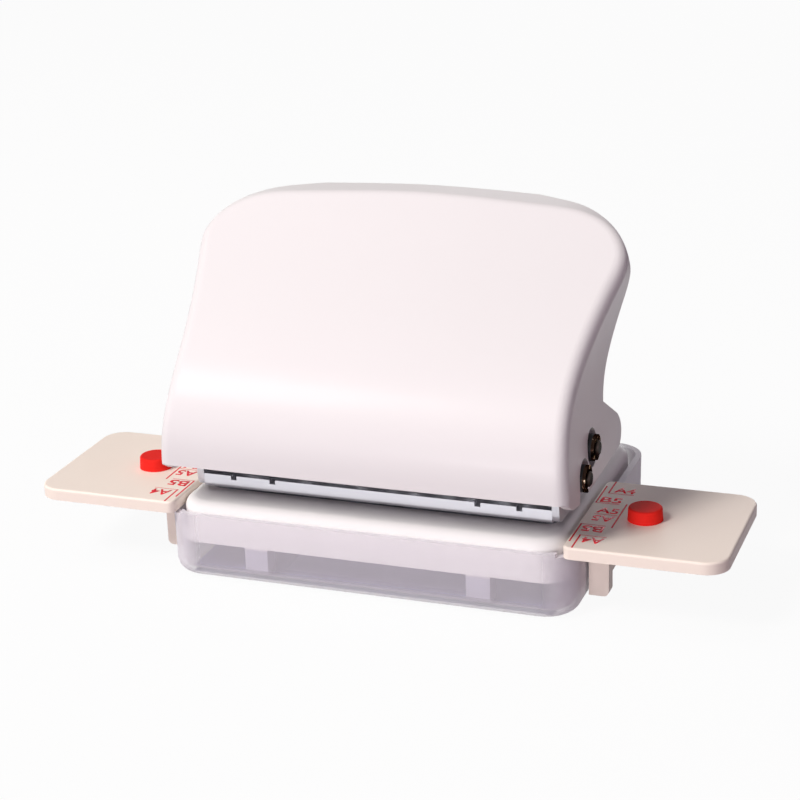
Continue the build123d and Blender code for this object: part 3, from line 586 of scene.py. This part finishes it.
def bar(x, y, other_x, other_y, width):
    """A printed line along X or Y."""
    half = width / 2
    left, right = min(x, other_x) - half, max(x, other_x) + half
    low, high = min(y, other_y) - half, max(y, other_y) + half
    return slab([(left, low), (right, low), (right, high), (left, high)],
                INK_LOW, INK_LOW + INK_THICK)


def lettering(words, x, y, wide, tall, turn):
    """Letters fitted into a box about (x, y), and turned by half a turn if asked."""
    curve = bpy.data.curves.new(words, "FONT")
    curve.body = words
    curve.offset = 0.022            # thickens the strokes
    curve.resolution_u = 3
    flat = bpy.data.objects.new(words, curve)
    bpy.context.scene.collection.objects.link(flat)
    graph = bpy.context.evaluated_depsgraph_get()
    mesh = bpy.data.meshes.new_from_object(flat.evaluated_get(graph), depsgraph=graph)
    bpy.data.objects.remove(flat)
    places = [v.co for v in mesh.vertices]
    low = Vector([min(p[i] for p in places) for i in range(2)])
    high = Vector([max(p[i] for p in places) for i in range(2)])
    across, up = wide / (high.x - low.x), tall / (high.y - low.y)
    sign = -1 if turn else 1
    for vertex in mesh.vertices:
        fx = (vertex.co.x - (low.x + high.x) / 2) * across * sign
        fy = (vertex.co.y - (low.y + high.y) / 2) * up * sign
        vertex.co = ((x + fx) * MM, (y + fy) * MM, INK_LOW * MM)
    made = bmesh.new()
    made.from_mesh(mesh)
    bmesh.ops.remove_doubles(made, verts=made.verts, dist=1e-7)
    faces = [list(face.verts) for face in made.faces]
    rims = [list(edge.verts) for edge in made.edges if edge.is_boundary]
    thick = Vector((0, 0, INK_THICK * MM))
    raised = {vertex: made.verts.new(vertex.co + thick) for vertex in list(made.verts)}
    for face in faces:
        made.faces.new([raised[vertex] for vertex in face])
    for first, second in rims:
        made.faces.new([first, second, raised[second], raised[first]])
    for face in made.faces:
        face.smooth = True
    return written(made, mesh)


def guide_marks(side):
    """Sheet marks of one guide: a line along each sheet's edge, an underline and its name.

    The rear half is read from the front, and the front half repeats it turned by half a turn.
    """
    made = []
    for half in (1, -1):
        a4, b5 = side * (A4_EDGE + OUTSIDE), side * (B5_EDGE + OUTSIDE)
        made.append(bar(a4, half * 8.8, a4, half * 13.65, EDGE_LINE))
        made.append(bar(side * A4_EDGE, half * 8.75, side * 38.65, half * 8.75, UNDERLINE))
        made.append(bar(b5, half * 4.5, b5, half * 11.4, EDGE_LINE))
        made.append(bar(side * B5_EDGE, half * 4.45, side * 37.4, half * 4.45, UNDERLINE))
        turn = half < 0
        made.append(lettering("A4", side * 36.95, half * 10.35, 3.4, 2.2, turn))
        made.append(lettering("B5", side * 35.75, half * 5.95, 3.45, 2.25, turn))
        made.append(lettering("A5", side * 36.3, half * 1.6, 3.5, 2.2, turn))
    a5 = side * (A5_EDGE + OUTSIDE)
    made.append(bar(a5, -4.75, a5, 4.75, EDGE_LINE))
    made.append(bar(a4, 0, side * 38.2, 0, UNDERLINE))
    return made


for side, name in SIDES:
    marks = joined(guide_marks(side), f"sheet_marks_{name}", INK)
    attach(marks, f"guide_{name}")


# ---------------------------------------------------------------- stage, light and camera
FLOOR_HALF = 1500                   # half the floor's side, in millimetres
FLOOR_GLOW = 0.94                   # share of the seen floor that glows, so that it reads as white
FOCAL_PIXELS = 2060.47              # the photograph's focal length and side, in pixels
PHOTO_PIXELS = 800
SENSOR = 36.0


def seen_white(tree, seen, unseen):
    """Mixes what the camera, mirrors and clear plastic see with what lights the object."""
    rays = {name: node(tree, "ShaderNodeLightPath", output=name)
            for name in ("Is Camera Ray", "Is Glossy Ray", "Is Transmission Ray")}
    any_ray = rays["Is Camera Ray"] + rays["Is Glossy Ray"] + rays["Is Transmission Ray"]
    return node(tree, "ShaderNodeMixShader", None, {0: any_ray, 1: unseen, 2: seen})


def make_floor():
    """A pale floor that reads as white and keeps a faint shadow."""
    finish = Finish("pale_floor")
    matt = finish.add("ShaderNodeBsdfDiffuse", None, {"Color": rgb(0.86, 0.85, 0.86)})
    dull = finish.add("ShaderNodeBsdfDiffuse", None, {"Color": rgb(0.16, 0.115, 0.15)})
    white = finish.add("ShaderNodeEmission", None, {"Color": WHITE, "Strength": 1.0})
    shown = finish.add("ShaderNodeMixShader", None, {0: FLOOR_GLOW, 1: matt, 2: white})
    finish.add_output(seen_white(finish.tree, shown, dull))
    square = [(x * FLOOR_HALF, y * FLOOR_HALF) for x, y in ((-1, -1), (1, -1), (1, 1), (-1, 1))]
    floor = keep(slab(square, -20, -0.02), "floor", finish.material)
    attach(floor, "tray")


def make_world():
    """White to the camera, and dim where it lights the object."""
    world = bpy.data.worlds.new("studio")
    bpy.context.scene.world = world
    world.use_nodes = True
    tree = world.node_tree
    tree.nodes.clear()
    white = node(tree, "ShaderNodeBackground", None, {"Color": WHITE, "Strength": 1.0})
    dim = node(tree, "ShaderNodeBackground", None,
               {"Color": rgb(0.97, 0.78, 0.97), "Strength": 0.065})
    out = tree.nodes.new("ShaderNodeOutputWorld")
    tree.links.new(seen_white(tree, white, dim).socket, out.inputs["Surface"])


def softbox(name, place, aim, size, watts, colour):
    """An oblong lamp that points from its place at its aim."""
    lamp = bpy.data.lights.new(name, "AREA")
    lamp.shape = "RECTANGLE"
    lamp.size, lamp.size_y = size
    lamp.energy = watts
    lamp.color = colour
    holder = bpy.data.objects.new(name, lamp)
    holder.location = place
    holder.rotation_euler = (Vector(aim) - Vector(place)).to_track_quat("-Z", "Y").to_euler()
    bpy.context.scene.collection.objects.link(holder)


def make_camera():
    """The camera of the photograph: place, direction, roll and lens."""
    turn, tilt, roll = radians(20.631), radians(19.856), radians(-2.011)
    back = Vector((sin(turn) * cos(tilt), -cos(turn) * cos(tilt), sin(tilt)))
    level = Vector((cos(turn), sin(turn), 0))
    upright = back.cross(level)
    right = level * cos(roll) + upright * sin(roll)
    up = upright * cos(roll) - level * sin(roll)
    camera = bpy.data.objects.new("camera", bpy.data.cameras.new("camera"))
    camera.data.sensor_width = SENSOR
    camera.data.lens = FOCAL_PIXELS / PHOTO_PIXELS * SENSOR
    camera.data.clip_start, camera.data.clip_end = 0.01, 20.0
    place = Matrix.Translation(Vector((112.376, -292.702, 129.124 + TABLE)) * MM)
    camera.matrix_world = place @ Matrix((right, up, back)).transposed().to_4x4()
    bpy.context.scene.collection.objects.link(camera)
    bpy.context.scene.camera = camera


make_floor()
make_world()
softbox("key", (-0.47, -0.56, 0.76), (0, 0, 0.03), (0.3, 0.3), 7.3, (1.0, 0.975, 0.955))
softbox("top", (-0.45, -0.05, 0.8), (0, 0, 0.02), (0.4, 0.4), 1.9, (1.0, 0.98, 0.95))
softbox("front", (0.0, -0.95, 0.045), (0, 0, 0.03), (0.6, 0.06), 4.35, (1.0, 0.955, 0.985))
softbox("rear", (0.0, 0.9, 0.1), (0, 0, 0.03), (0.6, 0.12), 1.3, (0.98, 0.97, 1.0))
softbox("side", (0.75, -0.25, 0.2), (0, 0, 0.03), (0.4, 0.3), 0.45, (1.0, 0.74, 0.92))
make_camera()
bpy.context.scene.view_settings.view_transform = "Standard"
